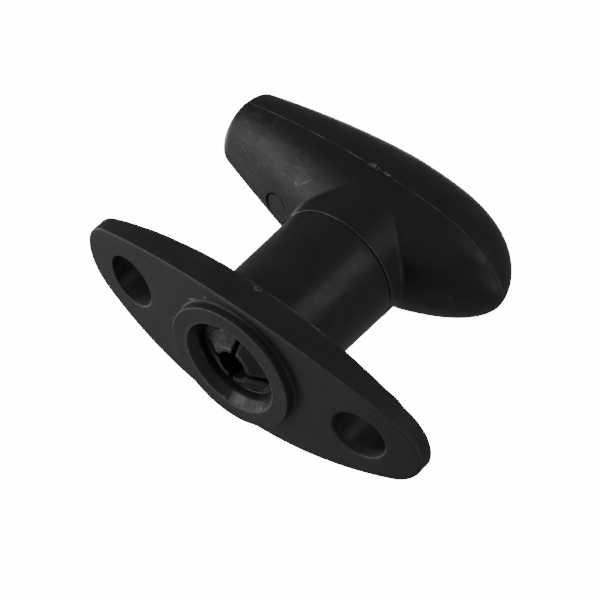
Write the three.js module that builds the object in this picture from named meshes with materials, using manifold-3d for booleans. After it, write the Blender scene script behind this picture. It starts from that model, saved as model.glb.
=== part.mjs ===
// Swivelling horn cleat moulded in black nylon: a flanged base with a tubular neck,
// and a one-piece horn head whose split stem snaps through the neck and turns in it.
// Millimetres, +Z up. The origin is the middle of the boss's end face, on the neck's axis.
// +X runs along the flange, +Z up the neck to the head.

import * as THREE from 'three';
import { mergeVertices } from 'three/addons/utils/BufferGeometryUtils.js';
import Module from 'manifold-3d';

const wasm = await Module();
wasm.setup();

// ---------------------------------------------------------------- driving dimensions

const ROUND_SIDES = 72;           // facets round a full-size cylinder
const SMALL_SIDES = 40;           // facets round a screw hole or the stem
const CUT_MARGIN = 2;             // how far a cutting tool runs past the face it cuts

const BOSS = { radius: 10, height: 1.45 };
const FLANGE = {
  halfLength: 29.2,
  halfWidth: 11.6,
  tipRadius: 6.6,
  thickness: 4.75,                // at the middle
  backRadius: 161,                // the back bows away from the deck towards both tips
};
const FRONT_Z = BOSS.height + FLANGE.thickness;
const SCREW_HOLE = { radius: 4, fromAxis: 19.8 };
const SCREW_SEAT = { radius: 5.2, height: 1.6, edge: 0.2 };   // raised round each hole on the front
const SEAT_Z = FRONT_Z + SCREW_SEAT.height;
const NECK = { rootRadius: 9.15, topRadius: 9.45, topZ: 23.35, edge: 0.25 };
const RECESS = { mouthRadius: 7.45, wallRadius: 6.45, wallZ: 1.45, floorRadius: 6.2, floorZ: 2.6 };
const BORE_RADIUS = 4.55;

const RUNNING_GAP = 0.3;          // between the head and the base, along and across the axis
const COLLAR = { radius: 9.5, edge: 0.2 };
const STEM = {
  radius: BORE_RADIUS - RUNNING_GAP,
  tipZ: 0.75,
  tipRadius: 3,
  hookRadius: 5.2,
  hollowRadius: 2.3,
  hollowTopZ: 17,
  slotWidth: 0.8,
  slotTopZ: 14.5,
};
const HEAD_TURN = THREE.MathUtils.degToRad(3);   // how far the head is turned at rest

// The horn's widest line lies in one plane; above and below it the section is half an ellipse.
const HORN = {
  widestZ: 34.4,
  middle: { width: 9.55, up: 10.7, down: 12 },
  blunt: { length: 27, width: 0.575, up: 0.58, down: 0.385, corner: 1.6, cornerShare: 0.42 },
  nose: { length: 20.8, width: 0.965, up: 0.97, down: 0.43, fullness: 3.2, roundness: 1.74 },
  fade: { width: 1.85, up: 1.41, down: 1.09 },   // how late each size falls off along a horn
};

// ---------------------------------------------------------------- solids

function solid(geometry) {
  const bare = geometry.clone();
  bare.deleteAttribute('normal');
  bare.deleteAttribute('uv');
  const merged = mergeVertices(bare, 1e-4);
  return new wasm.Manifold(new wasm.Mesh({
    numProp: 3,
    vertProperties: new Float32Array(merged.attributes.position.array),
    triVerts: new Uint32Array(merged.index.array),
  }));
}

function geometryOf(manifold) {
  const mesh = manifold.getMesh();
  const geometry = new THREE.BufferGeometry();
  geometry.setAttribute('position', new THREE.BufferAttribute(mesh.vertProperties, 3));
  geometry.setIndex(new THREE.BufferAttribute(mesh.triVerts, 1));
  geometry.computeVertexNormals();
  return geometry;
}

// A profile of [radius, z] pairs, turned about the Z axis.
function turned(profile, sides) {
  const points = profile.map(([radius, z]) => new THREE.Vector2(radius, z));
  return solid(new THREE.LatheGeometry(points, sides).rotateX(Math.PI / 2));
}

function box(width, depth, bottomZ, topZ) {
  const geometry = new THREE.BoxGeometry(width, depth, topZ - bottomZ);
  return solid(geometry.translate(0, 0, (bottomZ + topZ) / 2));
}

// ---------------------------------------------------------------- base

// A lens of two long arcs, rounded at both tips by arcs that run into them smoothly.
function flangeOutline() {
  const { halfLength, halfWidth, tipRadius } = FLANGE;
  const tipX = halfLength - tipRadius;
  const sideRadius = (tipX ** 2 + halfWidth ** 2 - tipRadius ** 2) / (2 * (halfWidth - tipRadius));
  const lean = Math.atan2(sideRadius - halfWidth, tipX);   // of the line through both centres
  const half = Math.PI / 2 - lean;                         // half of a long arc's turn
  const shape = new THREE.Shape();
  shape.absarc(tipX, 0, tipRadius, -lean, lean, false);
  shape.absarc(0, halfWidth - sideRadius, sideRadius, Math.PI / 2 - half, Math.PI / 2 + half, false);
  shape.absarc(-tipX, 0, tipRadius, Math.PI - lean, Math.PI + lean, false);
  shape.absarc(0, sideRadius - halfWidth, sideRadius, -Math.PI / 2 - half, -Math.PI / 2 + half, false);
  return shape;
}

// The flange's thickness seen from its long side: a flat front and a bowed back.
function flangeSide() {
  const reach = FLANGE.halfLength + CUT_MARGIN;
  const half = Math.asin(reach / FLANGE.backRadius);
  const shape = new THREE.Shape();
  shape.moveTo(reach, FRONT_Z);
  shape.lineTo(-reach, FRONT_Z);
  shape.absarc(0, BOSS.height + FLANGE.backRadius, FLANGE.backRadius,
    -Math.PI / 2 - half, -Math.PI / 2 + half, false);
  return shape;
}

function flange() {
  const plan = new THREE.ExtrudeGeometry(flangeOutline(), {
    depth: FRONT_Z + CUT_MARGIN, bevelEnabled: false, curveSegments: 24,
  });
  const depth = 2 * (FLANGE.halfWidth + CUT_MARGIN);
  const side = new THREE.ExtrudeGeometry(flangeSide(), {
    depth, bevelEnabled: false, curveSegments: 28,
  });
  side.rotateX(Math.PI / 2).translate(0, depth / 2, 0);
  return solid(plan).intersect(solid(side));
}

function screwSeat(x) {
  const { radius, edge } = SCREW_SEAT;
  return turned([
    [0, FRONT_Z - 1], [radius, FRONT_Z - 1], [radius, SEAT_Z - edge], [radius - edge, SEAT_Z], [0, SEAT_Z],
  ], SMALL_SIDES).translate([x, 0, 0]);
}

function screwHole(x) {
  const { radius } = SCREW_HOLE;
  const hole = new THREE.CylinderGeometry(radius, radius, SEAT_Z + 2 * CUT_MARGIN, SMALL_SIDES);
  return solid(hole.rotateX(Math.PI / 2).translate(x, 0, SEAT_Z / 2));
}

function swivelBase() {
  const boss = turned([[0, 0], [BOSS.radius, 0], [BOSS.radius, BOSS.height + 1],
    [0, BOSS.height + 1]], ROUND_SIDES);
  const neck = turned([
    [0, FRONT_Z - 1],
    [NECK.rootRadius, FRONT_Z - 1],
    [NECK.rootRadius, FRONT_Z],
    [NECK.topRadius, NECK.topZ - NECK.edge],
    [NECK.topRadius - NECK.edge, NECK.topZ],
    [0, NECK.topZ],
  ], ROUND_SIDES);
  const bore = turned([
    [0, -CUT_MARGIN],
    [RECESS.mouthRadius, -CUT_MARGIN],
    [RECESS.mouthRadius, 0],
    [RECESS.wallRadius, RECESS.wallZ],
    [RECESS.floorRadius, RECESS.floorZ],
    [BORE_RADIUS, RECESS.floorZ],
    [BORE_RADIUS, NECK.topZ + CUT_MARGIN],
    [0, NECK.topZ + CUT_MARGIN],
  ], ROUND_SIDES);
  let base = flange().add(boss).add(neck).subtract(bore);
  for (const x of [-SCREW_HOLE.fromAxis, SCREW_HOLE.fromAxis]) {
    base = base.add(screwSeat(x)).subtract(screwHole(x));
  }
  return base;
}

// ---------------------------------------------------------------- head

// The size of the horn's section at x: its half width, or its height above or below the widest line.
function hornSize(kind, x) {
  const end = x < 0 ? HORN.blunt : HORN.nose;
  const along = Math.min(Math.abs(x) / end.length, 1);
  return HORN.middle[kind] * (1 - (1 - end[kind]) * along ** HORN.fade[kind]);
}

// How full the section is along the horn, from the flat blunt end to the round nose.
function hornProfile() {
  const { blunt, nose } = HORN;
  const cornerSteps = 6;
  const straightSteps = 14;
  const noseSteps = 16;
  const points = [new THREE.Vector2(0, -blunt.length)];
  for (let i = 0; i <= cornerSteps; i++) {
    const angle = (i / cornerSteps) * Math.PI / 2;
    points.push(new THREE.Vector2(
      1 - blunt.cornerShare * (1 - Math.sin(angle)),
      blunt.corner * (1 - Math.cos(angle)) - blunt.length));
  }
  for (let i = 1; i <= straightSteps; i++) {
    points.push(new THREE.Vector2(1, (blunt.corner - blunt.length) * (1 - i / straightSteps)));
  }
  for (let i = 1; i <= noseSteps; i++) {
    const angle = (i / noseSteps) * Math.PI / 2;
    const radius = i === noseSteps ? 0 : Math.cos(angle) ** (2 / nose.roundness);
    points.push(new THREE.Vector2(radius, nose.length * Math.sin(angle) ** (2 / nose.fullness)));
  }
  return points;
}

function horn() {
  const geometry = new THREE.LatheGeometry(hornProfile(), 52).rotateZ(-Math.PI / 2);
  const position = geometry.attributes.position;
  for (let i = 0; i < position.count; i++) {
    const x = position.getX(i);
    const z = position.getZ(i);
    position.setY(i, position.getY(i) * hornSize('width', x));
    position.setZ(i, HORN.widestZ + z * hornSize(z > 0 ? 'up' : 'down', x));
  }
  return solid(geometry);
}

// A stem whose barbed end is split into four fingers round a hollow.
function stem() {
  const shoulderZ = RECESS.floorZ - RUNNING_GAP;
  const body = turned([
    [0, STEM.tipZ],
    [STEM.tipRadius, STEM.tipZ],
    [STEM.hookRadius, shoulderZ - 0.35],
    [STEM.hookRadius, shoulderZ],
    [STEM.radius, shoulderZ],
    [STEM.radius, NECK.topZ + CUT_MARGIN],
    [0, NECK.topZ + CUT_MARGIN],
  ], SMALL_SIDES);
  const hollow = turned([
    [0, -CUT_MARGIN],
    [STEM.hollowRadius, -CUT_MARGIN],
    [STEM.hollowRadius, STEM.hollowTopZ - STEM.hollowRadius],
    [0, STEM.hollowTopZ],
  ], SMALL_SIDES);
  const reach = 2 * (STEM.hookRadius + CUT_MARGIN);
  return body.subtract(hollow)
    .subtract(box(STEM.slotWidth, reach, -CUT_MARGIN, STEM.slotTopZ))
    .subtract(box(reach, STEM.slotWidth, -CUT_MARGIN, STEM.slotTopZ));
}

function hornHead() {
  const collarZ = NECK.topZ + RUNNING_GAP;
  const collar = turned([
    [0, collarZ],
    [COLLAR.radius - COLLAR.edge, collarZ],
    [COLLAR.radius, collarZ + COLLAR.edge],
    [COLLAR.radius, HORN.widestZ],
    [0, HORN.widestZ],
  ], ROUND_SIDES);
  return horn().add(collar).add(stem());
}

// ---------------------------------------------------------------- assembly

function nylonMesh(name, manifold, color, roughness) {
  const material = new THREE.MeshStandardMaterial({ color, roughness, metalness: 0 });
  const mesh = new THREE.Mesh(geometryOf(manifold), material);
  mesh.name = name;
  return mesh;
}

const cleat = new THREE.Group();
cleat.add(nylonMesh('swivel_base', swivelBase(), 0x1f1f20, 0.62));

const head = nylonMesh('horn_head', hornHead(), 0x1c1c1d, 0.5);
head.rotation.z = HEAD_TURN;
cleat.add(head);

export default cleat;
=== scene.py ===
import math

import bmesh
import bpy
import numpy as np
from mathutils import Matrix, Vector, noise
from mathutils.geometry import delaunay_2d_cdt


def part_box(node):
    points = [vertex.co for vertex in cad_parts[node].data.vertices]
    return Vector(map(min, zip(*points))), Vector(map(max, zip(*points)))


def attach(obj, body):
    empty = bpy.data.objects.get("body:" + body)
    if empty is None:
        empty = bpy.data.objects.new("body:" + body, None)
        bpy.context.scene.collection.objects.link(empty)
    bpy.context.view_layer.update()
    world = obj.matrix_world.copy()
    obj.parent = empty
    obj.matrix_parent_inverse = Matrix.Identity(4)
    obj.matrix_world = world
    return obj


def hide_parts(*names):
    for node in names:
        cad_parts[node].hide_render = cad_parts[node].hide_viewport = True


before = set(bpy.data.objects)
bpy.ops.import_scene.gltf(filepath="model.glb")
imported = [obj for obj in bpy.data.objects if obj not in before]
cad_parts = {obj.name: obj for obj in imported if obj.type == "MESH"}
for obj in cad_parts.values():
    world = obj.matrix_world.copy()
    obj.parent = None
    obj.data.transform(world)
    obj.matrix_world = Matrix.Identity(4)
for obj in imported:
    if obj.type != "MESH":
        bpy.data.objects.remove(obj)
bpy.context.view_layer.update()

# A swivelling horn cleat moulded in black nylon: a flanged base with a tubular neck, and a
# one-piece horn head whose split stem snaps through the neck. Shapes are worked out in
# millimetres, with Z up the neck and X along the flange, and become metres as a mesh is made.

MM = 0.001

# ---------------------------------------------------------------- sizes, in millimetres

BASE_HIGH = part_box("swivel_base")[1] / MM
HALF_LENGTH = BASE_HIGH.x
HALF_WIDTH = BASE_HIGH.y
NECK_TOP = BASE_HIGH.z

BOSS_RADIUS = 10.0
BOSS_HEIGHT = 1.45
FLANGE_THICKNESS = 4.75
FRONT_Z = BOSS_HEIGHT + FLANGE_THICKNESS
TIP_RADIUS = 6.6
BACK_RADIUS = 161.0               # the flange's back bows away from the deck towards both tips
HOLE_RADIUS = 4.0
HOLE_FROM_AXIS = 19.8
SEAT_RADIUS = 5.2                 # of the round seat on the front, under each screw head
SEAT_Z = FRONT_Z + 1.6
NECK_ROOT_RADIUS = 9.15
NECK_FOOT_RADIUS = NECK_ROOT_RADIUS + 0.36    # where the neck's root meets the flange's front
NECK_TOP_RADIUS = 9.45
MOUTH_RADIUS = 7.45
RECESS_RADIUS = 6.45
RECESS_Z = 1.45
FLOOR_RADIUS = 6.2
FLOOR_Z = 2.6
BORE_RADIUS = 4.55

RUNNING_GAP = 0.3
COLLAR_RADIUS = 9.5
COLLAR_Z = NECK_TOP + 0.07        # the head rests down on the neck, with its play at the barbs
COLLAR_WALL_Z = COLLAR_Z + 0.3    # where the collar's wall starts above its rim
LAND_RADIUS = 8.7                 # the land on the collar's underside that bears on the neck
LAND_Z = NECK_TOP + 0.02
STEM_RADIUS = BORE_RADIUS - RUNNING_GAP
HOOK_RADIUS = 5.2
HOOK_TOP = FLOOR_Z - RUNNING_GAP
HOOK_EDGE = 0.35
TIP_Z = 0.75
FINGER_TIP_RADIUS = 3.0
HOLLOW_RADIUS = 2.3
HOLLOW_TOP = 17.0
SLOT_WIDTH = 0.8
SLOT_TOP = 14.5
LIT_FINGER = 2                 # the quarter whose finger faces the light, painted pale as a highlight
HEAD_TURN = math.radians(3)       # how far the head is turned at rest

# The horn's widest line lies in one plane. Above and below it each section is half an ellipse,
# and its sizes fade from the middle to the flat blunt end on -X and the round nose on +X.
WIDEST_Z = 34.4
MIDDLE = {"width": 9.55, "up": 10.7, "down": 12.0}
BLUNT = {"length": 27.0, "width": 0.575, "up": 0.58, "down": 0.385}
BLUNT_CORNER = 1.6
BLUNT_CAP = 0.58                  # the flat end's share of the section
BLUNT_CROWN = 0.15                # how far the flat end is crowned
NOSE = {"length": 20.8, "width": 0.965, "up": 0.97, "down": 0.43}
NOSE_FULLNESS = 3.2
NOSE_ROUNDNESS = 1.74
FADE = {"width": 1.85, "up": 1.41, "down": 1.09}


# ---------------------------------------------------------------- mesh making

SHARP_ANGLE = math.radians(42)    # an edge that turns by more than this is shaded sharp

# How pale each place is (scuffs, flash and painted highlights) and how glossy, from 0 to 1.
# Boss rim, flange edge, collar rim, lit finger, lit sides of holes and recess: painted highlights.
WEAR_AND_HIGHLIGHT = {"mouth": 0.6, "boss rim": 0.5, "recess": 0.2, "hole edge": 0.8, "hole face": 0.1,
        "flange edge": 0.5, "torn": 0.9, "collar rim": 0.35, "finger": 0.05,
        "lit finger": 0.55}
POLISH = {"recess": 0.95, "neck": 0.7, "hole": 0.6, "collar rim": 0.7, "finger": 1.0,
          "pin": 0.2}


class Skin:
    """The points, in millimetres, and the faces of one piece while it is being made. Each point
    says how pale it is, from scuffs, flash and painted highlights, and how glossy its mould
    was (polish), both from 0 to 1."""

    def __init__(self):
        self.points = []
        self.faces = []
        self.wear_and_highlight = []
        self.polish = []

    def ring(self, points, wear_and_highlight=0.0, polish=0.0):
        """Adds points and returns their numbers. Paleness and polish can be lists, one per point.
        """
        first = len(self.points)
        self.points += [tuple(point) for point in points]
        count = len(self.points) - first
        self.wear_and_highlight += wear_and_highlight if isinstance(wear_and_highlight, list) else [wear_and_highlight] * count
        self.polish += polish if isinstance(polish, list) else [polish] * count
        return list(range(first, len(self.points)))

    def bridge(self, a, b):
        """Joins two rings that have the same number of points with a band of faces."""
        following = a[1:] + a[:1]
        opposite = b[1:] + b[:1]
        self.faces += list(zip(a, following, opposite, b))

    def bridge_all(self, rings):
        """Joins each ring to the next."""
        for a, b in zip(rings, rings[1:]):
            self.bridge(a, b)

    def close(self, rings):
        """Joins rings into a solid, with one face over each end."""
        self.bridge_all(rings)
        self.faces.append(tuple(reversed(rings[0])))
        self.faces.append(tuple(rings[-1]))

    def cap(self, ring, point):
        """Closes a ring with a fan to one point."""
        centre = self.ring([point])[0]
        self.faces += [(a, b, centre) for a, b in zip(ring, ring[1:] + ring[:1])]


def add_object(name, data):
    """A Blender object that is part of the scene."""
    obj = bpy.data.objects.new(name, data)
    bpy.context.scene.collection.objects.link(obj)
    return obj


def mesh_object(name, skin, turn=0.0):
    """A Blender object, in metres, from a skin turned about Z. Its normals point out."""
    mesh = bpy.data.meshes.new(name)
    mesh.from_pydata([Vector(point) * MM for point in skin.points], [], skin.faces)
    mesh.transform(Matrix.Rotation(turn, 4, "Z"))
    for kind, values in (("wear_and_highlight", skin.wear_and_highlight), ("polish", skin.polish)):
        mesh.attributes.new(kind, "FLOAT", "POINT").data.foreach_set("value", values)
    work = bmesh.new()
    work.from_mesh(mesh)
    bmesh.ops.recalc_face_normals(work, faces=work.faces)
    work.to_mesh(mesh)
    work.free()
    return add_object(name, mesh)


def smooth_by_angle(obj):
    """Shades the mesh smoothly, except over sharp edges."""
    obj.data.shade_smooth()
    obj.data.set_sharp_from_angle(angle=SHARP_ANGLE)


def apply_boolean(obj, other, operation):
    """Joins or cuts obj with other, which is then removed."""
    modifier = obj.modifiers.new("join", "BOOLEAN")
    modifier.operation = operation
    modifier.solver = "MANIFOLD"
    modifier.object = other
    graph = bpy.context.evaluated_depsgraph_get()
    mesh = bpy.data.meshes.new_from_object(obj.evaluated_get(graph))
    obj.modifiers.clear()
    old = obj.data
    obj.data = mesh
    mesh.name = obj.name
    bpy.data.meshes.remove(old)
    bpy.data.objects.remove(other)


def rounded(corners, step=1.2, arc_steps=5):
    """A line through corners (across, up, setback), each rounded over its setback, with a point
    at least every `step` along the straights."""
    pieces = []
    for i, (across, up, setback) in enumerate(corners):
        here = Vector((across, up))
        if i in (0, len(corners) - 1) or setback == 0:
            pieces.append([here])
            continue
        before = (Vector(corners[i - 1][:2]) - here).normalized() * setback + here
        after = (Vector(corners[i + 1][:2]) - here).normalized() * setback + here
        arc = []
        for k in range(arc_steps + 1):
            t = k / arc_steps
            arc.append(before * (1 - t) ** 2 + here * 2 * t * (1 - t) + after * t ** 2)
        pieces.append(arc)
    line = list(pieces[0])
    for piece in pieces[1:]:
        start, end = line[-1], piece[0]
        count = max(1, math.ceil((end - start).length / step))
        line += [start.lerp(end, k / count) for k in range(1, count)]
        line += piece
    return line


def round_over(radius, steps=5):
    """(inset, depth) pairs of a quarter-round edge, from the face to the wall."""
    turns = [math.pi / 2 * k / steps for k in range(steps + 1)]
    return [(radius * (1 - math.sin(a)), radius * (1 - math.cos(a))) for a in turns]


def circle(radius, height, sides, centre=0.0):
    """A ring about a vertical axis at x = centre. Its height is a number or a function of x."""
    points = []
    for i in range(sides):
        angle = 2 * math.pi * i / sides
        x = centre + radius * math.cos(angle)
        z = height(x) if callable(height) else height
        points.append((x, radius * math.sin(angle), z))
    return points


# ---------------------------------------------------------------- base

CENTRE_SIDES = 288
HOLE_SIDES = 112
FILL_SPACING = 0.7                # between the points that fill the flange's faces
FILL_ROW = FILL_SPACING * 0.866   # between their rows, so that the triangles are even
BOSS_FILLET = 0.42
MOUTH_NICKS = 0.16                # how far flash stands into the recess's mouth
PALE_RIM = 0.15                # how far round a rim its paleness reaches: flash at the mouth, a painted highlight at the boss
EDGE_MARGIN = 0.3                 # past an edge, where a polished face ends or starts
COARSE_NICKS = 9                  # waves of the mouth's ragged flash in a radian
FINE_NICKS = 31
HOLE_EDGE = 0.22
HOLE_WALL = ((0.08, 0.9), (0.3, 0.7), (0.65, 0.0))    # rings up a hole: (share of height, paleness: scuffs and a painted highlight on the lit side)
LIT_SIDE = math.radians(20)   # the side of each hole, and of the recess, that faces the light and is painted pale as a highlight
SEAT_FILLET = 0.35
BACK_EDGE = 0.32
EDGE_RINGS = (0.3, 0.55)          # shares of the way up the flange's edge
FLASH = 0.1                       # how far the moulding flash stands out of the flange's edge
FLASH_ROOT = 0.34                 # how far below the flange's front its edge starts to swell
THIN_FLASH = 0.14                 # height of the flash under the flange's front
THICK_FLASH = 0.26
FRONT_EDGE = (0.06, 0.04)         # inset and depth of the front's eased edge
TORN_TO = 13.0                    # thick flash was torn off from the gate to here, in X
GATE = (-0.2, -HALF_WIDTH + 0.17, FRONT_Z - 0.55)    # where the moulding gate was snapped off
GATE_HALF = (0.85, 0.11, 0.5)     # half the size of the torn lump left there
COARSE_FLASH = 0.35               # waves of ragged flash in a millimetre
FINE_FLASH = 2.1
LUMP_SIDES = 20                   # round a torn lump, and along it
LUMP_STEPS = 14
LUMP_RIPPLES = 2.3                # how closely its surface is broken up, and how deeply
LUMP_DEPTH = 0.8


def back_z(x):
    """The height of the flange's bowed back."""
    return BOSS_HEIGHT + BACK_RADIUS - math.sqrt(BACK_RADIUS ** 2 - x * x)


def from_back(offset):
    """A height function of x: the flange's back, raised by an offset."""
    return lambda x: back_z(x) + offset


def part_way(share):
    """A height function of x: a share of the way from the flange's back to its front."""
    return lambda x: back_z(x) * (1 - share) + FRONT_Z * share


def flange_arcs():
    """The outline's arcs as (centre x, centre y, radius, start, end)."""
    tip_x = HALF_LENGTH - TIP_RADIUS
    side = (tip_x ** 2 + HALF_WIDTH ** 2 - TIP_RADIUS ** 2) / (2 * (HALF_WIDTH - TIP_RADIUS))
    lean = math.atan2(side - HALF_WIDTH, tip_x)
    half = math.pi / 2 - lean
    up = math.pi / 2
    return [
        (tip_x, 0, TIP_RADIUS, -lean, lean),
        (0, HALF_WIDTH - side, side, up - half, up + half),
        (-tip_x, 0, TIP_RADIUS, math.pi - lean, math.pi + lean),
        (0, side - HALF_WIDTH, side, -up - half, -up + half),
    ]


def flange_outline(step=0.42):
    """Points round the flange, each with its outward direction: (x, y, out x, out y)."""
    outline = []
    for cx, cy, radius, start, end in flange_arcs():
        count = round(radius * (end - start) / step)
        for i in range(count):
            angle = start + (end - start) * i / count
            out = (math.cos(angle), math.sin(angle))
            outline.append((cx + radius * out[0], cy + radius * out[1], *out))
    return outline


def inside_flange(x, y, margin):
    """Whether a point lies inside the outline by the margin. A tip's arc, which is centred on
    the X axis, bounds only what lies beyond its centre."""
    for cx, cy, radius, _, _ in flange_arcs():
        if cy == 0 and (abs(x) < abs(cx) or x * cx < 0):
            continue
        if math.hypot(x - cx, y - cy) > radius - margin:
            return False
    return True


def outline_ring(outline, inset, height):
    """The outline drawn in by an inset, at a height. Either can be a list with a value for each
    point, and the height can be a function of X."""
    insets = inset if isinstance(inset, list) else [inset] * len(outline)
    heights = height if isinstance(height, list) else [height] * len(outline)
    points = []
    for (x, y, out_x, out_y), d, z in zip(outline, insets, heights):
        px, py = x - out_x * d, y - out_y * d
        points.append((px, py, z(px) if callable(z) else z))
    return points


def fill_face(skin, outer, holes, height):
    """Fills between the outer ring and round holes (centre x, radius, ring) with small
    triangles that follow height(x)."""
    rings = [outer] + [ring for _, _, ring in holes]
    index = [i for ring in rings for i in ring]
    edges = []
    start = 0
    for ring in rings:
        count = len(ring)
        edges += [(start + i, start + (i + 1) % count) for i in range(count)]
        start += count
    grid = []
    rows = int(HALF_WIDTH / FILL_ROW) + 1
    columns = int(HALF_LENGTH / FILL_SPACING) + 1
    for row in range(-rows, rows + 1):
        for column in range(-columns, columns + 1):
            x = (column + 0.5 * (row % 2)) * FILL_SPACING
            y = row * FILL_ROW
            clear = inside_flange(x, y, BACK_EDGE + 0.7 * FILL_SPACING)
            for centre, radius, _ in holes:
                clear = clear and math.hypot(x - centre, y) > radius + 0.6 * FILL_SPACING
            if clear:
                grid.append((x, y, height(x)))
    index += skin.ring(grid)
    flat = [Vector(skin.points[i][:2]) for i in index]
    _, _, triangles, sources, _, _ = delaunay_2d_cdt(flat, edges, [], 0, 1e-6)
    members = [set(ring) for _, _, ring in holes]
    for triangle in triangles:
        corners = [index[sources[v][0]] for v in triangle]
        if not any(all(c in ring for c in corners) for ring in members):
            skin.faces.append(tuple(corners))


def centre_profile():
    """The turned line from the boss's rim in through the bore and down the neck."""
    return rounded([
        (BOSS_RADIUS, BOSS_HEIGHT - BOSS_FILLET, 0),
        (BOSS_RADIUS, 0, 0.2),
        (BOSS_RADIUS - 0.35, 0, 0),
        (MOUTH_RADIUS + 0.3, 0, 0),
        (MOUTH_RADIUS, 0, 0.14),
        (MOUTH_RADIUS - 0.2, 0.2 * RECESS_Z, 0),
        (RECESS_RADIUS, RECESS_Z, 0.25),
        (FLOOR_RADIUS, FLOOR_Z, 0.15),
        (BORE_RADIUS, FLOOR_Z, 0.15),
        (BORE_RADIUS, NECK_TOP, 0.3),
        (NECK_TOP_RADIUS, NECK_TOP, 0.2),
        (NECK_ROOT_RADIUS, FRONT_Z, 0.35),
        (NECK_FOOT_RADIUS, FRONT_Z, 0),
    ])


def ragged_ring(points, depth):
    """The ring with ragged flash standing in towards its axis by up to a depth."""
    ragged = []
    for x, y, z in points:
        angle = math.atan2(y, x)
        cos, sin = math.cos(angle), math.sin(angle)
        flash = noise.noise(Vector((cos * COARSE_NICKS, sin * COARSE_NICKS, 2)))
        flash += 0.6 * noise.noise(Vector((cos * FINE_NICKS, sin * FINE_NICKS, 4)))
        scale = 1 - depth * max(0.0, flash) / math.hypot(x, y)
        ragged.append((x * scale, y * scale, z))
    return ragged


def scuffs_and_highlight(ring, centre, most):
    """Paleness for each point of a ring round a hole: scuffs all round, and a painted highlight
    on the +X side, whose wall faces the light.
    """
    wear_and_highlight = []
    for x, y, _ in ring:
        facing = max(0.0, math.cos(math.atan2(y, x - centre) - LIT_SIDE))
        wear_and_highlight.append(most * (0.3 + 0.7 * facing ** 2))
    return wear_and_highlight


def add_centre(skin):
    """The boss, recess, bore and neck. Returns the rings on the back and on the front."""
    rings = []
    for inset, depth in round_over(BOSS_FILLET):
        rings.append(skin.ring(circle(BOSS_RADIUS + inset, from_back(-depth), CENTRE_SIDES)))
    for radius, z in centre_profile():
        ring = circle(radius, z, CENTRE_SIDES)
        wear_and_highlight = polish = 0.0
        if z < PALE_RIM and abs(radius - MOUTH_RADIUS) < PALE_RIM:
            ring, wear_and_highlight = ragged_ring(ring, MOUTH_NICKS), WEAR_AND_HIGHLIGHT["mouth"]
        # The boss's rim is painted pale: a painted highlight along its edge.
        elif z < PALE_RIM and radius > BOSS_RADIUS - PALE_RIM:
            wear_and_highlight = WEAR_AND_HIGHLIGHT["boss rim"]
        elif radius < MOUTH_RADIUS and z < FLOOR_Z + EDGE_MARGIN:
            polish = POLISH["recess"]
            # The recess's sloping wall is painted pale on its lit +X side: a painted highlight.
            if radius > RECESS_RADIUS:
                wear_and_highlight = scuffs_and_highlight(ring, 0.0, WEAR_AND_HIGHLIGHT["recess"])
        elif z > FRONT_Z + EDGE_MARGIN:
            polish = POLISH["neck"]
        rings.append(skin.ring(ring, wear_and_highlight=wear_and_highlight, polish=polish))
    skin.bridge_all(rings)
    return rings[0], rings[-1]


def add_screw_hole(skin, centre):
    """A plain hole with eased edges, up through a round seat. Returns the outer rings on the
    back and on the front."""
    rings = []
    # The hole's edge and wall are pale from scuffs all round, and paler on the lit +X side: a
    # painted highlight.
    for inset, depth in round_over(HOLE_EDGE):
        ring = circle(HOLE_RADIUS + inset, from_back(depth), HOLE_SIDES, centre)
        wear_and_highlight = scuffs_and_highlight(ring, centre, WEAR_AND_HIGHLIGHT["hole edge" if depth else "hole face"])
        rings.append(skin.ring(ring, wear_and_highlight=wear_and_highlight))
    for share, wear_and_highlight in HOLE_WALL:
        ring = circle(HOLE_RADIUS, part_way(share), HOLE_SIDES, centre)
        rings.append(skin.ring(ring, wear_and_highlight=scuffs_and_highlight(ring, centre, wear_and_highlight), polish=POLISH["hole"]))
    seat = rounded([
        (HOLE_RADIUS, FRONT_Z, 0),
        (HOLE_RADIUS, SEAT_Z, 0.2),
        (SEAT_RADIUS, SEAT_Z, 0.2),
        (SEAT_RADIUS, FRONT_Z, SEAT_FILLET),
        (SEAT_RADIUS + SEAT_FILLET + 0.01, FRONT_Z, 0),
    ])
    for radius, z in seat:
        rings.append(skin.ring(circle(radius, z, HOLE_SIDES, centre)))
    skin.bridge_all(rings)
    return rings[0], rings[-1]


def torn_lump(centre, half, turn=0.0):
    """A torn lump of plastic, of the given half sizes, to be joined to a moulding."""
    skin = Skin()
    rings = []
    seed = Vector((centre[0], 3, 1))
    for i in range(1, LUMP_STEPS):
        tilt = math.pi * i / LUMP_STEPS
        ring = []
        for k in range(LUMP_SIDES):
            angle = 2 * math.pi * k / LUMP_SIDES
            point = Vector((-math.cos(tilt), math.sin(tilt) * math.cos(angle),
                            math.sin(tilt) * math.sin(angle)))
            point *= 1 + LUMP_DEPTH * noise.noise(point * LUMP_RIPPLES + seed)
            ring.append([centre[axis] + point[axis] * half[axis] for axis in range(3)])
        rings.append(skin.ring(ring, wear_and_highlight=WEAR_AND_HIGHLIGHT["torn"]))
    skin.close(rings)
    return mesh_object("torn_lump", skin, turn)


def flash_line(outline, seed):
    """How far ragged flash stands out at each point of an outline, from 0 to 1."""
    heights = []
    for x, y, *_ in outline:
        coarse = noise.noise(Vector((x * COARSE_FLASH, y * COARSE_FLASH, seed)))
        fine = noise.noise(Vector((x * FINE_FLASH, y * FINE_FLASH, seed + 7)))
        heights.append(max(0.0, min(1.0, 0.45 + 0.8 * coarse + 0.5 * fine)))
    return heights


def torn(x, y):
    """Whether a point of the outline is where thick flash was torn away, beside the gate."""
    return y < 0 and GATE[0] < x < TORN_TO


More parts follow.
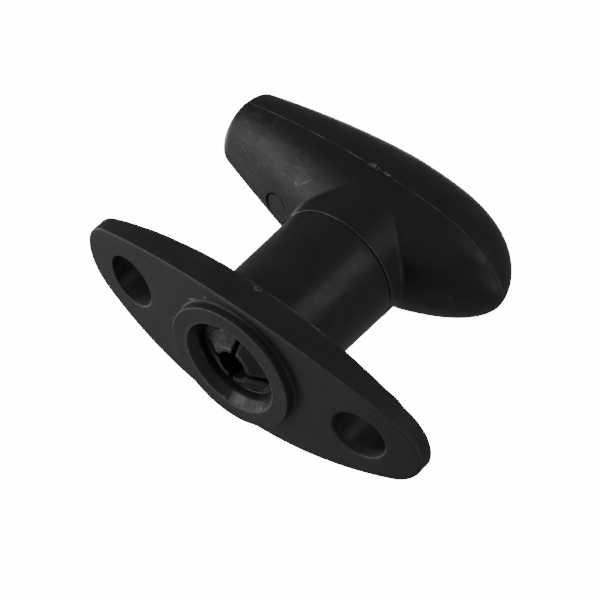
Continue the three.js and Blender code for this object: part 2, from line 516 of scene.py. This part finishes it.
def add_flange_edge(skin):
    """The flange's outer edge. Returns the rings on the back and on the front."""
    outline = flange_outline()
    rings = []
    for inset, depth in round_over(BACK_EDGE):
        # Part way round the back edge the ring is painted pale: a painted highlight along the
        # edge.
        paled = WEAR_AND_HIGHLIGHT["flange edge"] if 0.02 < depth < 0.6 * BACK_EDGE else 0.0
        ring = outline_ring(outline, FLASH + inset, from_back(depth))
        rings.append(skin.ring(ring, wear_and_highlight=paled))
    for share in EDGE_RINGS:
        rings.append(skin.ring(outline_ring(outline, FLASH, part_way(share))))
    ragged = flash_line(outline, 3)
    lip = [FLASH * (1 - height) for height in ragged]
    scuff = [height if torn(x, y) else 0.4 * height
             for height, (x, y, _, _) in zip(ragged, outline)]
    low = [FRONT_Z - (THICK_FLASH if torn(x, y) else THIN_FLASH) for x, y, _, _ in outline]
    for inset, height, wear_and_highlight in (
            (FLASH, FRONT_Z - FLASH_ROOT, 0.0),
            (lip, low, scuff),
            (lip, FRONT_Z - FRONT_EDGE[1], scuff),
            (FLASH + FRONT_EDGE[0], FRONT_Z, 0.0),
            (FLASH + BACK_EDGE, FRONT_Z, 0.0)):
        rings.append(skin.ring(outline_ring(outline, inset, height), wear_and_highlight=wear_and_highlight))
    skin.bridge_all(rings)
    return rings[0], rings[-1]


def swivel_base():
    """The flange with its boss and holes, and the neck, as one moulding."""
    skin = Skin()
    centre_back, centre_front = add_centre(skin)
    outer_back, outer_front = add_flange_edge(skin)
    back_holes = [(0, BOSS_RADIUS + BOSS_FILLET, centre_back)]
    front_holes = [(0, NECK_FOOT_RADIUS, centre_front)]
    for centre in (-HOLE_FROM_AXIS, HOLE_FROM_AXIS):
        back, front = add_screw_hole(skin, centre)
        back_holes.append((centre, HOLE_RADIUS + HOLE_EDGE, back))
        front_holes.append((centre, SEAT_RADIUS + SEAT_FILLET, front))
    fill_face(skin, outer_back, back_holes, back_z)
    fill_face(skin, outer_front, front_holes, lambda x: FRONT_Z)
    obj = mesh_object("swivel_base_moulding", skin)
    apply_boolean(obj, torn_lump(GATE, GATE_HALF), "UNION")
    smooth_by_angle(obj)
    return obj


# ---------------------------------------------------------------- head

OUTLINE_STEP = 0.36
FILLET = 0.6                      # how far the crease under each horn is eased, and the most
FILLET_SHARE = 0.45               # of the wall or the underside beside it that this may take
SEAM = 0.12                       # half the height of the parting line's flash
SEAM_FLASH = 0.16                 # how far that flash stands out
SEAM_LUMPS = ((-3.1, 0.8, 0.42), (-0.85, 0.7, 0.2))    # thick flash: (x, half length, half height)
LUMP_OUT = 0.34                   # how far a lump stands out of the horn
PIN_RADIUS = 2.4                  # ejector pins pressed on the underside of both horns
PIN_DEPTH = 0.2
BLUNT_PIN_X = -12.95
NOSE_PIN_X = 14.1
WALL_POINTS = 12                  # up each outline of the head, from rim to axis
UNDER_POINTS = 44
OVER_POINTS = 64
FINE_POINTS = 500                 # of each line that they are taken from
PLAN_POINTS = 6001                # of the horn's plan, before it is spaced out evenly
COLLAR_RIM = 0.25                 # how far the collar's glossy rim, painted pale as a highlight, reaches
TIP_FLARE = (0.2, 0.08)           # how far the hollow widens at a finger's first two rings
FINGER_EASE = 0.1                 # of the long edges of each finger
PIN_SIDES = 64
# Each pin's end and side, as rings of (how far out of the underside, radius, painted highlight).
GROOVED_PIN = ((-PIN_DEPTH, PIN_RADIUS - 0.4, 0.0), (-PIN_DEPTH, PIN_RADIUS - 0.22, 0.3),
               (-PIN_DEPTH - 0.2, PIN_RADIUS - 0.12, 0.0), (-PIN_DEPTH - 0.2, PIN_RADIUS, 0.0),
               (1.5, PIN_RADIUS + 0.25, 0.5))
SLOPED_PIN = ((-PIN_DEPTH, PIN_RADIUS - 0.6, 0.0), (-PIN_DEPTH, PIN_RADIUS - 0.45, 0.4),
              (0.1, PIN_RADIUS, 1.4), (1.5, PIN_RADIUS + 1.6, 0.0))


def horn_size(kind, x):
    """The half width of the horn, or its height above or below the widest line, at x."""
    blunt = 1 - (1 - BLUNT[kind]) * np.clip(-x / BLUNT["length"], 0, 1) ** FADE[kind]
    nose = 1 - (1 - NOSE[kind]) * np.clip(x / NOSE["length"], 0, 1) ** FADE[kind]
    return MIDDLE[kind] * np.where(x < 0, blunt, nose)


def horn_share(x):
    """How full the section is at x: it closes at the crowned blunt end and at the nose."""
    from_end = np.maximum(x + BLUNT["length"], 0)
    crown = BLUNT_CAP * np.sqrt(np.clip(from_end / BLUNT_CROWN, 0, 1))
    turn = np.clip(1 - (from_end - BLUNT_CROWN) / (BLUNT_CORNER - BLUNT_CROWN), 0, 1)
    corner = 1 - (1 - BLUNT_CAP) * (1 - np.sqrt(1 - turn ** 2))
    along = np.clip(x / NOSE["length"], 0, 1) ** (NOSE_FULLNESS / 2)
    nose = (1 - along ** 2) ** (1 / NOSE_ROUNDNESS)
    return np.where(x > 0, nose, np.where(from_end < BLUNT_CROWN, crown, corner))


def horn_z(x, y, kind):
    """The height of the horn's top ("up") or underside ("down") over a point of its plan."""
    share = horn_share(x)
    half_width = np.maximum(horn_size("width", x) * share, 1e-9)
    across = np.sqrt(np.clip(1 - (y / half_width) ** 2, 0, 1))
    sign = 1 if kind == "up" else -1
    return WIDEST_Z + sign * horn_size(kind, x) * share * across


def lengths_along(line):
    """The length of a line up to each of its points."""
    return np.concatenate([[0], np.cumsum(np.hypot(*np.diff(line, axis=0).T))])


def horn_outline():
    """Evenly spaced points round the horn's widest line, seen from above."""
    fine = np.linspace(0, 1, PLAN_POINTS)
    x = -BLUNT["length"] + (BLUNT["length"] + NOSE["length"]) * (1 - np.cos(math.pi * fine)) / 2
    y = horn_size("width", x) * horn_share(x)
    length = lengths_along(np.stack([x, y], 1))
    half = round(length[-1] / OUTLINE_STEP)
    even = np.interp(np.linspace(0, length[-1], half + 1), length, np.arange(len(x)))
    side_x = np.interp(even, np.arange(len(x)), x)
    side_y = np.interp(even, np.arange(len(x)), y)
    return np.concatenate([np.stack([side_x, side_y], 1),
                           np.stack([side_x[-2:0:-1], -side_y[-2:0:-1]], 1)])


def even_points(line, shares):
    """Points at these shares of a line's length. The line's rows are (across, up)."""
    length = lengths_along(line)
    at = shares * length[-1]
    return np.stack([np.interp(at, length, line[:, k]) for k in (0, 1)], 1)


def trimmed(line, start, end):
    """The line without its first and last stretches of these lengths."""
    length = lengths_along(line)
    low, high = start, length[-1] - end
    inner = (length > low) & (length < high)
    ends = [np.array([np.interp(at, length, line[:, k]) for k in (0, 1)]) for at in (low, high)]
    return np.concatenate([ends[:1], line[inner], ends[1:]])


def horn_meridian(x, y, flash):
    """The head's outline from its collar's rim, up the collar, out under the horn, round its
    widest line at (x, y) and over the top to the axis, as rows of (distance out, height)."""
    reach = math.hypot(x, y)
    fine = 1 - (1 - np.linspace(0, 1, FINE_POINTS)) ** 3
    out = COLLAR_RADIUS + (reach - COLLAR_RADIUS) * fine
    under = np.stack([out, horn_z(x * out / reach, y * out / reach, "down")], 1)
    over_out = reach * fine[::-1]
    over = np.stack([over_out, horn_z(x * over_out / reach, y * over_out / reach, "up")], 1)
    crease_z = under[0, 1]
    under_length = np.hypot(*np.diff(under, axis=0).T).sum()
    ease = min(FILLET, FILLET_SHARE * (crease_z - COLLAR_WALL_Z), FILLET_SHARE * under_length)
    wall = np.linspace(COLLAR_WALL_Z, crease_z - ease, WALL_POINTS)
    wall = np.stack([np.full(WALL_POINTS, COLLAR_RADIUS), wall], 1)
    under = trimmed(under, ease, SEAM)
    t = np.linspace(0, 1, 8)[1:-1, None]
    corner = np.array([COLLAR_RADIUS, crease_z])
    fillet = wall[-1] * (1 - t) ** 2 + corner * 2 * t * (1 - t) + under[0] * t ** 2
    seam = np.array([[reach + 0.6 * flash, WIDEST_Z - 0.45 * SEAM], [reach + flash, WIDEST_Z],
                     [reach + 0.6 * flash, WIDEST_Z + 0.45 * SEAM]])
    over = trimmed(over, SEAM, 0)
    return np.concatenate([
        wall, fillet, even_points(under, np.linspace(0, 1, UNDER_POINTS)), seam,
        even_points(over, np.linspace(0, 1, OVER_POINTS)[:-1])])


def turned_rings(skin, directions, profile):
    """Rings about the axis through (radius, z) points, glossy at the collar's rim and painted
    pale there as a highlight.
    """
    rings = []
    for radius, z in profile:
        at_rim = radius > COLLAR_RADIUS - COLLAR_RIM and z < COLLAR_Z + COLLAR_RIM
        ring = [(x, y, z) for x, y in directions * radius]
        rings.append(skin.ring(ring, wear_and_highlight=WEAR_AND_HIGHLIGHT["collar rim"] if at_rim else 0.0,
                               polish=POLISH["collar rim"] if at_rim else 0.0))
    return rings


def add_head_skin(skin):
    """The head's outside, the collar's underside and the upper stem round its hollow."""
    outline = horn_outline()
    reach = np.hypot(outline[:, 0], outline[:, 1])
    directions = outline / reach[:, None]
    flash = flash_line(outline, 11)
    lines = np.array([horn_meridian(x, y, SEAM_FLASH * f) for (x, y), f in zip(outline, flash)])
    inside = rounded([
        (0.0, HOLLOW_TOP, 0),
        (HOLLOW_RADIUS * 0.55, HOLLOW_TOP - 0.2, 0.4),
        (HOLLOW_RADIUS, HOLLOW_TOP - HOLLOW_RADIUS * 0.7, 0.6),
        (HOLLOW_RADIUS, SLOT_TOP, 0.1),
        (STEM_RADIUS, SLOT_TOP, 0.1),
        (STEM_RADIUS, LAND_Z, 0.2),
        (LAND_RADIUS, LAND_Z, 0.03),
        (LAND_RADIUS, COLLAR_Z, 0.03),
        (COLLAR_RADIUS, COLLAR_Z, 0.2),
        (COLLAR_RADIUS, COLLAR_WALL_Z, 0),
    ])[1:-1]
    rings = turned_rings(skin, directions, inside)
    for k in range(lines.shape[1]):
        out, up = lines[:, k, 0], lines[:, k, 1]
        points = np.column_stack([directions * out[:, None], up])
        at_seam = abs(up[0] - WIDEST_Z) < 0.5 * SEAM and abs(up[-1] - WIDEST_Z) < 0.5 * SEAM
        rings.append(skin.ring(points.tolist(), wear_and_highlight=flash if at_seam else 0.0))
    skin.bridge_all(rings)
    skin.cap(rings[0], (0, 0, HOLLOW_TOP))
    skin.cap(rings[-1], (0, 0, WIDEST_Z + MIDDLE["up"]))


def finger_section(outer, inner, steps=12):
    """A finger's section in the first quarter: two arcs between the faces of the slots."""
    half_slot = SLOT_WIDTH / 2
    points = []
    for radius, sign in ((outer, 1), (inner, -1)):
        edge = math.asin(half_slot / radius)
        inset = FINGER_EASE / radius
        turns = [edge + inset + (math.pi / 2 - 2 * edge - 2 * inset) * k / steps
                 for k in range(steps + 1)]
        radial = radius - sign * FINGER_EASE
        low = (math.sqrt(radial ** 2 - half_slot ** 2), half_slot)
        arc = [(radius * math.cos(a), radius * math.sin(a)) for a in turns]
        arc = [low] + arc + [(low[1], low[0])]
        points += arc if sign > 0 else arc[::-1]
    return points


def add_finger(skin, quarter):
    """One snap finger with its barb, turned into its quarter."""
    line = rounded([
        (FINGER_TIP_RADIUS - 0.25, TIP_Z, 0),
        (FINGER_TIP_RADIUS, TIP_Z, 0.12),
        (HOOK_RADIUS, HOOK_TOP - HOOK_EDGE, 0.14),
        (HOOK_RADIUS, HOOK_TOP, 0.08),
        (STEM_RADIUS, HOOK_TOP, 0.1),
        (STEM_RADIUS, SLOT_TOP + 0.6, 0),
    ], step=1.0)
    turn = math.pi / 2 * quarter
    cos, sin = math.cos(turn), math.sin(turn)
    rings = []
    for i, (radius, z) in enumerate(line):
        inner = HOLLOW_RADIUS + (TIP_FLARE[i] if i < len(TIP_FLARE) else 0.0)
        section = finger_section(radius, inner)
        turned = [(x * cos - y * sin, x * sin + y * cos, z) for x, y in section]
        # The finger that faces the light is painted pale: a painted highlight.
        wear_and_highlight = WEAR_AND_HIGHLIGHT["lit finger" if quarter == LIT_FINGER else "finger"]
        rings.append(skin.ring(turned, wear_and_highlight=wear_and_highlight, polish=POLISH["finger"]))
    skin.close(rings)


def pin_cutter(x, profile):
    """A short turned shape whose end presses the underside at x square to its surface. Its rim
    is painted pale on one side: a painted highlight where the light catches it."""
    below = float(horn_z(x, 0.0, "down"))
    step = 0.1
    slope = (float(horn_z(x + step, 0.0, "down")) - below) / step
    out = Vector((slope, 0, -1)).normalized()
    along = Vector((0, 1, 0)).cross(out)
    skin = Skin()
    rings = []
    for proud, radius, wear_and_highlight in profile:
        middle = Vector((x, 0, below)) + out * proud
        ring, rim_highlight = [], []
        for i in range(PIN_SIDES):
            angle = 2 * math.pi * i / PIN_SIDES
            ring.append(middle + (along * math.cos(angle) + Vector((0, 1, 0)) * math.sin(angle))
                        * radius)
            # Pale on one side only: a painted highlight on the rim's lit side.
            rim_highlight.append(wear_and_highlight * max(0.0, 0.3 - 0.7 * math.cos(angle + 0.5)))
        rings.append(skin.ring(ring, wear_and_highlight=rim_highlight, polish=POLISH["pin"]))
    skin.close(rings)
    return mesh_object("pin_cutter", skin, HEAD_TURN)


def horn_head():
    """Both horns, the collar and the snap fingers, as one moulding."""
    skin = Skin()
    add_head_skin(skin)
    obj = mesh_object("horn_head_moulding", skin, HEAD_TURN)
    fingers = Skin()
    for quarter in range(4):
        add_finger(fingers, quarter)
    apply_boolean(obj, mesh_object("fingers", fingers, HEAD_TURN), "UNION")
    apply_boolean(obj, pin_cutter(BLUNT_PIN_X, GROOVED_PIN), "DIFFERENCE")
    apply_boolean(obj, pin_cutter(NOSE_PIN_X, SLOPED_PIN), "DIFFERENCE")
    for x, half_length, half_height in SEAM_LUMPS:
        centre = (x, -float(horn_size("width", x)), WIDEST_Z)
        lump = torn_lump(centre, (half_length, LUMP_OUT, half_height), HEAD_TURN)
        apply_boolean(obj, lump, "UNION")
    smooth_by_angle(obj)
    return obj


# ---------------------------------------------------------------- materials

# How closely each pattern repeats, in waves per metre.
CLOUDS = 160
GLOSS_CLOUDS = 420
RIPPLES = 260
SPECKS = 3600
SCUFFS = 700
BREAKS = 1500                     # in the pale marks on rims and edges, scuffs and painted highlights alike
STREAKS = 1900                    # where the head has been rubbed

# The pale colour of scuffs, flash and specks, also used for painted highlights on rims, edges and
# lit sides.
SCUFF_AND_HIGHLIGHT_COLOUR = (0.15, 0.148, 0.14, 1)
NYLON_IOR = 1.5
GLOSS_GAIN = 0.24                 # how far full polish brings the roughness down


class Nodes:
    """Short ways to add and join the shader nodes of a material or a world."""

    def __init__(self, owner):
        owner.use_nodes = True
        self.tree = owner.node_tree
        self.tree.nodes.clear()

    def add(self, kind, **values):
        """A node with its properties and inputs set by name."""
        node = self.tree.nodes.new(kind)
        for name, value in values.items():
            if hasattr(node, name):
                setattr(node, name, value)
            else:
                node.inputs[name.replace("_", " ")].default_value = value
        return node

    def join(self, source, target):
        """Links an output to an input."""
        self.tree.links.new(source, target)

    def noise(self, coordinates, scale, detail, roughness):
        """A cloudy pattern from 0 to 1."""
        node = self.add("ShaderNodeTexNoise", Scale=scale, Detail=detail, Roughness=roughness)
        self.join(coordinates, node.inputs["Vector"])
        return node.outputs["Fac"]

    def remap(self, value, low, high, to_low, to_high):
        """A value taken from one range to another, and kept inside it."""
        node = self.add("ShaderNodeMapRange")
        for name, number in zip(("From Min", "From Max", "To Min", "To Max"),
                                (low, high, to_low, to_high)):
            node.inputs[name].default_value = number
        self.join(value, node.inputs["Value"])
        return node.outputs["Result"]

    def ramp(self, value, stops):
        """A colour from (position, colour) stops."""
        node = self.add("ShaderNodeValToRGB")
        elements = node.color_ramp.elements
        while len(elements) < len(stops):
            elements.new(0.5)
        for element, (position, colour) in zip(elements, stops):
            element.position = position
            element.color = (*colour, 1)
        self.join(value, node.inputs["Fac"])
        return node.outputs["Color"]

    def math(self, operation, a, b):
        """Two values put together by an operation."""
        node = self.add("ShaderNodeMath", operation=operation)
        self.join(a, node.inputs[0])
        self.join(b, node.inputs[1])
        return node.outputs["Value"]

    def bump(self, height, strength, distance, normal=None):
        """A normal tilted by a height map, on top of another normal if one is given."""
        node = self.add("ShaderNodeBump", Strength=strength, Distance=distance)
        self.join(height, node.inputs["Height"])
        if normal is not None:
            self.join(normal, node.inputs["Normal"])
        return node.outputs["Normal"]

    def soft_spot(self, where, centre, size, turn=(0, 0, 0)):
        """A mask that fades out over an ellipsoid with these half sizes."""
        mapping = self.add("ShaderNodeMapping", vector_type="TEXTURE")
        mapping.inputs["Location"].default_value = centre
        mapping.inputs["Rotation"].default_value = turn
        mapping.inputs["Scale"].default_value = size
        self.join(where, mapping.inputs["Vector"])
        spot = self.add("ShaderNodeTexGradient", gradient_type="SPHERICAL")
        self.join(mapping.outputs["Vector"], spot.inputs["Vector"])
        return spot.outputs["Fac"]

    def mix_shaders(self, share, first, second, output):
        """Sends two shaders, mixed by a share of the second, to the output node's surface."""
        mix = self.add("ShaderNodeMixShader")
        self.join(share, mix.inputs["Fac"])
        self.join(first, mix.inputs[1])
        self.join(second, mix.inputs[2])
        self.join(mix.outputs["Shader"], self.add(output).inputs["Surface"])


def scratch_mask(make, where, start, end, width):
    """A soft streak between two points, in millimetres, for use as a mask."""
    start, end = Vector(start) * MM, Vector(end) * MM
    size = ((end - start).length / 2, width * MM, 3 * width * MM)
    turn = (end - start).to_track_quat("X", "Z").to_euler()
    return make.remap(make.soft_spot(where, (start + end) / 2, size, turn), 0.0, 0.5, 0.0, 1.0)


def rub_mask(make, where, centre, radius):
    """A patch of fine streaks along X round a point, in millimetres, for use as a mask."""
    patch = make.soft_spot(where, Vector(centre) * MM, (radius * MM,) * 3)
    stretch = make.add("ShaderNodeMapping", vector_type="POINT")
    stretch.inputs["Scale"].default_value = (0.28, 1.0, 0.7)
    stretch.inputs["Rotation"].default_value = (0, 0.25, -0.12)
    make.join(where, stretch.inputs["Vector"])
    streaks = make.noise(stretch.outputs["Vector"], STREAKS, 5.0, 0.7)
    streaks = make.remap(streaks, 0.5, 0.8, 0.0, 0.6)
    return make.math("MULTIPLY", make.remap(patch, 0.0, 0.6, 0.0, 1.0), streaks)


def black_nylon(name, dark, light, rough, grain_size, grain_depth, scratches, paled=()):
    """Moulded nylon: spark-eroded grain, cloudy gloss, pale scuffs, and pale rims and edges that
    are partly scuffing and partly painted highlights. A scratch is (start, end, width) and a
    patch of rub streaks is (centre, radius)."""
    material = bpy.data.materials.new(name)
    make = Nodes(material)
    shader = make.add("ShaderNodeBsdfPrincipled")
    output = make.add("ShaderNodeOutputMaterial")
    make.join(shader.outputs["BSDF"], output.inputs["Surface"])
    where = make.add("ShaderNodeTexCoord").outputs["Object"]
    wear_and_highlight = make.add("ShaderNodeAttribute", attribute_name="wear_and_highlight").outputs["Fac"]
    polish = make.add("ShaderNodeAttribute", attribute_name="polish").outputs["Fac"]

    clouds = make.noise(where, CLOUDS, 4.0, 0.6)
    colour = make.ramp(clouds, [(0.35, dark), (0.68, light)])
    specks = make.remap(make.noise(where, SPECKS, 1.0, 0.5), 0.7, 0.78, 0.0, 0.25)
    scuffs = make.remap(make.noise(where, SCUFFS, 5.0, 0.75), 0.6, 0.8, 0.0, 0.22)
    breakup = make.remap(make.noise(where, BREAKS, 3.0, 0.6), 0.35, 0.6, 0.35, 1.0)
    # The wear attribute holds scuffs and flash, and also painted highlights on rims, edges and lit
    # sides.
    pale_marks_and_highlights = make.math("MULTIPLY", wear_and_highlight, breakup)
    for start, end, width in scratches:
        pale_marks_and_highlights = make.math("MAXIMUM", pale_marks_and_highlights, scratch_mask(make, where, start, end, width))
    for centre, radius in paled:
        pale_marks_and_highlights = make.math("MAXIMUM", pale_marks_and_highlights, rub_mask(make, where, centre, radius))
    for mask in (specks, scuffs):
        pale_marks_and_highlights = make.math("MAXIMUM", pale_marks_and_highlights, mask)
    mix = make.add("ShaderNodeMix", data_type="RGBA")
    make.join(pale_marks_and_highlights, mix.inputs[0])
    make.join(colour, mix.inputs[6])
    mix.inputs[7].default_value = SCUFF_AND_HIGHLIGHT_COLOUR
    make.join(mix.outputs[2], shader.inputs["Base Color"])

    gloss = make.noise(where, GLOSS_CLOUDS, 3.0, 0.5)
    cloudy = make.remap(gloss, 0.3, 0.7, rough - 0.05, rough + 0.06)
    shine = make.remap(polish, 0.0, 1.0, 0.0, -GLOSS_GAIN)
    make.join(make.math("ADD", cloudy, shine), shader.inputs["Roughness"])
    shader.inputs["IOR"].default_value = NYLON_IOR

    grain = make.noise(where, 1 / (grain_size * MM), 2.0, 0.6)
    plain = make.remap(polish, 0.0, 1.0, 1.0, 0.15)
    ripple = make.noise(where, RIPPLES, 2.0, 0.5)
    fine = make.bump(make.math("MULTIPLY", grain, plain), 1.0, grain_depth * MM)
    make.join(make.bump(ripple, 0.35, 0.02 * MM, fine), shader.inputs["Normal"])
    return material


def base_nylon():
    """The base's nylon, with small scuffs on its back beside the boss."""
    scratches = (
        ((-8.9, -5.9, BOSS_HEIGHT), (-7.0, -7.6, BOSS_HEIGHT), 0.22),
        ((-5.9, -8.9, BOSS_HEIGHT), (-5.2, -9.2, BOSS_HEIGHT), 0.25),
    )
    return black_nylon("base_nylon", (0.016, 0.016, 0.016), (0.024, 0.024, 0.0235),
                       rough=0.5, grain_size=0.16, grain_depth=0.02, scratches=scratches)


def head_nylon():
    """The head's nylon, with a tick-shaped scratch under the blunt horn."""
    scratches = (
        ((-11.3, -6.2, 27.6), (-10.4, -6.1, 27.0), 0.16),
        ((-10.5, -6.1, 27.0), (-8.7, -7.7, 28.7), 0.12),
    )
    return black_nylon("head_nylon", (0.014, 0.014, 0.014), (0.021, 0.021, 0.0205),
                       rough=0.42, grain_size=0.2, grain_depth=0.009, scratches=scratches,
                       paled=(((-20.0, -5.0, 29.5), 7.5), ((-12.0, -6.0, 28.5), 5.0)))


# ---------------------------------------------------------------- camera, light and floor

SENSOR = 36.0
LENS = 115.93
AIM = Vector((-1.46, 2.78, 17.24)) * MM
DISTANCE = 269.1 * MM
AZIMUTH = math.radians(25.343)
ELEVATION = math.radians(-30.785)
ROLL = math.radians(46.862)
CLIP_START = 0.01

SOFTBOX_DISTANCE = 0.5            # metres from the cleat
SOFTBOX_SIZE = 0.26               # metres along a side
WARM = (1.0, 0.975, 0.93)
ROOM_SEEN = 16.0                  # how bright the white room looks, and how bright it shines
ROOM_LIGHT = 0.19
FLOOR_HALF = 1.5                  # half the floor's side, in metres


def camera():
    """Looks up at the flange's back, rolled so that the cleat lies on one side."""
    data = bpy.data.cameras.new("camera")
    data.lens = LENS
    data.sensor_width = SENSOR
    data.clip_start = CLIP_START
    obj = add_object("camera", data)
    back = Vector((math.sin(AZIMUTH) * math.cos(ELEVATION),
                   -math.cos(AZIMUTH) * math.cos(ELEVATION), math.sin(ELEVATION)))
    level = back.to_track_quat("Z", "Y")
    obj.rotation_mode = "QUATERNION"
    obj.rotation_quaternion = level @ Matrix.Rotation(ROLL, 3, "Z").to_quaternion()
    obj.location = AIM + back * DISTANCE
    bpy.context.scene.camera = obj


def softbox(name, direction, power, colour=(1, 1, 1)):
    """A square area light of a power in watts, facing the cleat from a direction."""
    data = bpy.data.lights.new(name, "AREA")
    data.size = SOFTBOX_SIZE
    data.energy = power
    data.color = colour
    obj = add_object(name, data)
    out = Vector(direction).normalized()
    obj.location = AIM + out * SOFTBOX_DISTANCE
    obj.rotation_mode = "QUATERNION"
    obj.rotation_quaternion = out.to_track_quat("Z", "Y")


def lights():
    """Soft boxes all round, brightest below the blunt horn."""
    softbox("key", (-1, -0.5, -1), 0.32, WARM)
    softbox("low_front", (-1, -1, -0.5), 0.2, WARM)
    softbox("low_corner", (-1, -1, -1), 0.26, WARM)
    softbox("below", (-0.5, 0.5, -1), 0.34)
    softbox("beside_blunt_horn", (-1, 0.5, 0), 0.48)
    softbox("low_beside", (-1, 0, -0.5), 0.24)
    softbox("above_nose", (1, -1, 0.5), 0.2)
    softbox("beside_nose", (1, 0, 0), 0.18)
    softbox("overhead", (-0.5, 1, 1), 0.5)


def studio():
    """A white room, dimmer as a light than it looks."""
    world = bpy.data.worlds.new("studio")
    bpy.context.scene.world = world
    make = Nodes(world)
    seen = make.add("ShaderNodeBackground", Color=(1, 1, 1, 1), Strength=ROOM_SEEN)
    lit = make.add("ShaderNodeBackground", Color=(1, 1, 1, 1), Strength=ROOM_LIGHT)
    path = make.add("ShaderNodeLightPath")
    make.mix_shaders(path.outputs["Is Camera Ray"], lit.outputs["Background"],
                     seen.outputs["Background"], "ShaderNodeOutputWorld")


def floor_material():
    """Pale and matt from above, and clear from below, where the camera looks up through it."""
    material = bpy.data.materials.new("pale_floor")
    make = Nodes(material)
    matt = make.add("ShaderNodeBsdfPrincipled", Base_Color=(0.8, 0.8, 0.79, 1), Roughness=0.7,
                    Emission_Color=(1, 1, 1, 1), Emission_Strength=0.9)
    clear = make.add("ShaderNodeBsdfTransparent")
    side = make.add("ShaderNodeNewGeometry")
    make.mix_shaders(side.outputs["Backfacing"], matt.outputs["BSDF"], clear.outputs["BSDF"],
                     "ShaderNodeOutputMaterial")
    return material


def floor():
    """A square floor at the boss's rim, which the camera sees but which lights nothing."""
    mesh = bpy.data.meshes.new("floor")
    corners = [(x * FLOOR_HALF, y * FLOOR_HALF, 0)
               for x, y in ((-1, -1), (1, -1), (1, 1), (-1, 1))]
    mesh.from_pydata(corners, [], [(0, 1, 2, 3)])
    mesh.materials.append(floor_material())
    obj = add_object("floor", mesh)
    obj.visible_diffuse = False
    obj.visible_glossy = False
    obj.visible_shadow = False


# ---------------------------------------------------------------- the scene

def finish_piece(obj, body, node, material):
    """Gives a piece its look and the body that it rides on, and hides the CAD node that it
    stands for.
    """
    obj.data.materials.clear()
    obj.data.materials.append(material)
    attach(obj, body)
    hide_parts(node)


camera()
finish_piece(swivel_base(), "base", "swivel_base", base_nylon())
finish_piece(horn_head(), "head", "horn_head", head_nylon())
studio()
lights()
floor()
